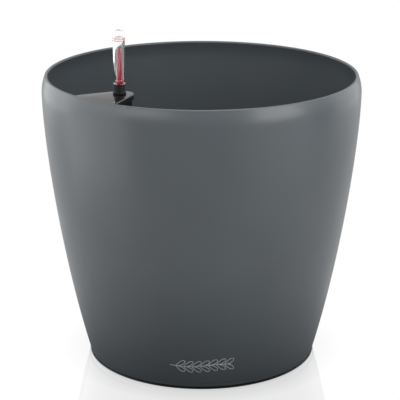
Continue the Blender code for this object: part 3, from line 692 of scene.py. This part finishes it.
def make_tube(black):
    collar_z = LID_Z + LID_T + GAP
    outline = [
        (TUBE_BORE_R, TUBE_Z), (TUBE_R, TUBE_Z), (TUBE_R, collar_z), (TUBE_COLLAR_R, collar_z),
        (TUBE_COLLAR_R, collar_z + TUBE_COLLAR_T), (TUBE_R, collar_z + TUBE_COLLAR_T),
        (TUBE_R, TUBE_TOP_Z), (TUBE_BORE_R, TUBE_TOP_Z),
    ]
    body = turned(soft(outline, 0.35 * MM), 72)
    tube = piece("gauge_tube", body, black, "indicator", "indicator_tube", at=axis())
    half, near, far = TUBE_SLOT_W / 2, TUBE_BORE_R / 2, 2 * TUBE_R
    bar = [(near, -half), (far, -half), (far, half), (near, half)]
    slots = bmesh.new()
    start = TUBE_Z + TUBE_SLOT_UP
    for i in range(TUBE_SLOTS):
        turn = Matrix.Rotation(2 * pi * (i + 0.5) / TUBE_SLOTS, 2)
        prism([turn @ Vector(p) for p in bar], start, start + TUBE_SLOT_L, slots)
    carve(tube, slots, axis())
    flange_z, plug_z = TUBE_Z - GAP, TUBE_Z + FOOT_PLUG_L
    foot = [
        (FOOT_HOLE_R, flange_z - FOOT_FLANGE_T), (TUBE_R, flange_z - FOOT_FLANGE_T), (TUBE_R, flange_z),
        (FOOT_PLUG_R, flange_z), (FOOT_PLUG_R, plug_z), (FOOT_HOLE_R, plug_z),
    ]
    piece("gauge_foot_plug", turned(soft(foot), 64), black, "indicator", "indicator_foot", at=axis())


def make_head(glass, red):
    shoulder = TUBE_TOP_Z + GAP
    wall = HEAD_R - HEAD_BORE_R
    dome = (HEAD_R - HEAD_ROUND, HEAD_TOP_Z - HEAD_ROUND)
    outline = [
        (SPIGOT_BORE_R, shoulder - SPIGOT_L), (SPIGOT_R, shoulder - SPIGOT_L),
        (SPIGOT_R, shoulder), (HEAD_R, shoulder),
    ]
    outline += arc(dome, HEAD_ROUND, 0, 90, 14)
    outline += [(VENT_R, HEAD_TOP_Z), (VENT_R, HEAD_TOP_Z - wall)]
    outline += arc(dome, HEAD_ROUND - wall, 90, 0, 14)
    outline += [(HEAD_BORE_R, shoulder + HEAD_FLOOR_T), (SPIGOT_BORE_R, shoulder + HEAD_FLOOR_T)]
    head = turned(soft(outline, 0.25 * MM), 96)
    piece("gauge_clear_head", head, glass, "indicator", "indicator_head", at=axis())
    marks = bmesh.new()
    near, far = HEAD_R + MARK_IN, HEAD_R + MARK_OUT
    for z, width in MARKS:
        outline = [(near, z), (far, z), (far, z + width), (near, z + width)]
        turned(soft(outline, MARK_ROUND), 96, marks)
    piece("gauge_level_marks", marks, red, "indicator", at=axis(), slot="red_plastic")


def make_float(red, white):
    stop_z = TUBE_TOP_Z + 2 * GAP + HEAD_FLOOR_T
    sleeve_z, bore_r, bore_top = stop_z - POINTER_SLEEVE_L, STEM_R + GAP, stop_z - MM
    stop_top, edge = stop_z + POINTER_STOP_T, 0.3 * MM
    tip = arc((0.0, POINTER_TIP_Z - POINTER_R), POINTER_R, 0, 90, 8)
    fillet = 0.4 * MM
    pointer = [
        (bore_r, sleeve_z), (POINTER_SLEEVE_R, sleeve_z), (POINTER_SLEEVE_R, stop_z),
        (POINTER_STOP_R - edge, stop_z), (POINTER_STOP_R, stop_z + edge),
        (POINTER_STOP_R, stop_top - edge), (POINTER_STOP_R - edge, stop_top),
        (POINTER_R + fillet, stop_top), (POINTER_R, stop_top + fillet),
        *tip, (0.0, bore_top), (bore_r, bore_top),
    ]
    piece("red_pointer", turned(pointer, 64), red, "float", "float_pointer", at=axis())
    low, high = FLOAT_HOLE_Z + GAP, bore_top - GAP
    rod = turned([(0.0, low), (STEM_R, low), (STEM_R, high), (0.0, high)], 32)
    piece("float_rod", rod, white, "float", "float_stem", at=axis())
    body = [
        (0.0, FLOAT_Z), (FLOAT_R, FLOAT_Z), (FLOAT_R, FLOAT_TOP_Z), (bore_r, FLOAT_TOP_Z),
        (bore_r, FLOAT_HOLE_Z), (0.0, FLOAT_HOLE_Z),
    ]
    piece("foam_float", turned(soft(body, 0.9 * MM, 5), 64), white, "float", "float_body", at=axis())


# The studio


def shown_to_camera(tree):
    """1 for what the camera sees straight or through the clear head, 0 for reflections and shading."""
    path = tree.nodes.new("ShaderNodeLightPath")
    either = tree.nodes.new("ShaderNodeMath")
    either.operation = "MAXIMUM"
    tree.links.new(path.outputs["Is Camera Ray"], either.inputs[0])
    tree.links.new(path.outputs["Is Transmission Ray"], either.inputs[1])
    return either.outputs[0]


def mix(tree, share, first, second):
    """A blend of two shaders: the first where share is 0, the second where it is 1."""
    made = tree.nodes.new("ShaderNodeMixShader")
    for socket, source in zip(made.inputs, (share, first, second)):
        tree.links.new(source, socket)
    return made.outputs[0]


def make_floor():
    """White where the camera sees it, with a faint gloss that fades away from the pot's foot.

    Its grey, darkest just in front of the foot, is painted shade, so the light it sends back to the pot is
    weakest there; right at the foot's edge the camera sees that near-black grey as a painted contact shadow.
    """
    floor = bpy.data.materials.new("studio_floor")
    floor.use_nodes = True
    tree = floor.node_tree
    tree.nodes.clear()
    where = tree.nodes.new("ShaderNodeNewGeometry")
    away = tree.nodes.new("ShaderNodeVectorMath")
    away.operation = "LENGTH"
    tree.links.new(where.outputs["Position"], away.inputs[0])
    from_painted_shade = tree.nodes.new("ShaderNodeVectorMath")
    from_painted_shade.operation = "DISTANCE"
    from_painted_shade.inputs[1].default_value = FLOOR_PAINTED_SHADE_CENTRE
    tree.links.new(where.outputs["Position"], from_painted_shade.inputs[0])
    # Painted shade: the floor's albedo runs from near black just in front of the pot's axis to mid grey
    # farther out.
    grey = spread(tree, from_painted_shade.outputs["Value"], *FLOOR_PAINTED_SHADE_ALBEDO, *FLOOR_PAINTED_SHADE_R)
    painted_shade_diffuse = tree.nodes.new("ShaderNodeBsdfDiffuse")
    tree.links.new(grey, painted_shade_diffuse.inputs["Color"])
    gloss = tree.nodes.new("ShaderNodeBsdfGlossy")
    gloss.inputs["Roughness"].default_value = FLOOR_ROUGHNESS
    white = tree.nodes.new("ShaderNodeEmission")
    white.inputs["Strength"].default_value = FLOOR_WHITE
    clean = spread(tree, away.outputs["Value"], 0.0, 1.0, *FLOOR_CLEAN_R)
    # Inside the foot's edge the camera sees the diffuse floor: partly real shade under the foot, darkened to
    # near black by the painted-shade albedo.
    plain = mix(tree, clean, painted_shade_diffuse.outputs[0], white.outputs[0])
    mirror = spread(tree, away.outputs["Value"], *FLOOR_MIRROR, *FLOOR_MIRROR_R)
    seen = mix(tree, mirror, plain, gloss.outputs[0])
    out = tree.nodes.new("ShaderNodeOutputMaterial")
    tree.links.new(mix(tree, shown_to_camera(tree), painted_shade_diffuse.outputs[0], seen), out.inputs[0])
    made = new_object("studio_floor", prism(circle((0, 0), FLOOR_R, 96), -FLOOR_T, -FLOOR_DROP))
    made.data.materials.append(floor)


def make_panel(name, place, aim, size, radiance):
    """A rectangular light that faces the point aim."""
    lamp = bpy.data.lights.new(name, "AREA")
    lamp.shape = "RECTANGLE"
    lamp.size, lamp.size_y = size
    lamp.energy = radiance * pi * size[0] * size[1]
    made = bpy.data.objects.new(name, lamp)
    made.location = place
    made.rotation_euler = (Vector(aim) - Vector(place)).to_track_quat("-Z", "Y").to_euler()
    bpy.context.scene.collection.objects.link(made)


def make_side_panel(name, azimuth, distance, low, high, width, radiance):
    """A panel that stands upright and faces the pot's axis."""
    turn, middle = radians(azimuth), (low + high) / 2
    place = (distance * sin(turn), -distance * cos(turn), middle)
    make_panel(name, place, (0.0, 0.0, middle), (width, high - low), radiance)


def make_world():
    """White where the camera sees it, and an even grey where it lights the pot."""
    world = bpy.data.worlds.new("studio")
    world.use_nodes = True
    tree = world.node_tree
    tree.nodes.clear()
    shades = []
    for strength in (WORLD_LIGHT, 1.0):
        shade = tree.nodes.new("ShaderNodeBackground")
        shade.inputs["Color"].default_value = (1.0, 1.0, 1.0, 1.0)
        shade.inputs["Strength"].default_value = strength
        shades.append(shade.outputs[0])
    out = tree.nodes.new("ShaderNodeOutputWorld")
    tree.links.new(mix(tree, shown_to_camera(tree), *shades), out.inputs[0])
    bpy.context.scene.world = world


def make_camera():
    lens = bpy.data.cameras.new("camera")
    lens.sensor_width, lens.lens, lens.shift_x = SENSOR, LENS, SHIFT_X
    lens.clip_start, lens.clip_end = CLIP_START, CLIP_END
    camera = bpy.data.objects.new("camera", lens)
    camera.location = CAMERA
    camera.rotation_euler = (pi / 2 - CAMERA_DOWN, 0.0, 0.0)
    bpy.context.scene.collection.objects.link(camera)
    bpy.context.scene.camera = camera


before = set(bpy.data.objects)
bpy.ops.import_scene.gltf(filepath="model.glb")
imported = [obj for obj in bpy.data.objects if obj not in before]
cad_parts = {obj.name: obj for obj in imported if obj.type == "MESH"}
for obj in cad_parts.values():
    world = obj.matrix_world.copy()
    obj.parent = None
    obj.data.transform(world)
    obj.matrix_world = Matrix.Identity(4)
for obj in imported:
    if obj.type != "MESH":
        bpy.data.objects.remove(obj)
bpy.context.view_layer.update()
black = moulded("black_moulded", (0.008, 0.008, 0.009), 0.38, 0.48, shine=0.15)
polished = moulded("black_polished", (0.008, 0.008, 0.009), 0.14, 0.2)
rubber = moulded("black_rubber", (0.016, 0.016, 0.016), 0.6, 0.75, 900, 0.03 * MM)
red = moulded("red_gloss", (0.50, 0.010, 0.030), 0.2, 0.26)
pale = moulded("pale_print", (0.30, 0.31, 0.31), 0.4, 0.5)
make_pot(slate())
make_emblem(pale)
make_overflow(black, rubber)
make_plug(black, rubber)
make_separator(black)
make_cups(black)
make_shaft(black)
make_strainer(black)
make_lid(polished)
make_tube(black)
make_head(clear(), red)
make_float(red, foam())
make_floor()
for panel in SIDE_PANELS:
    make_side_panel(*panel)
for name, place, size, radiance in TOP_PANELS:
    make_panel(name, place, TOP_AIM, size, radiance)
make_world()
make_camera()
scene = bpy.context.scene
scene.view_settings.view_transform = "Standard"
scene.view_settings.look = "None"
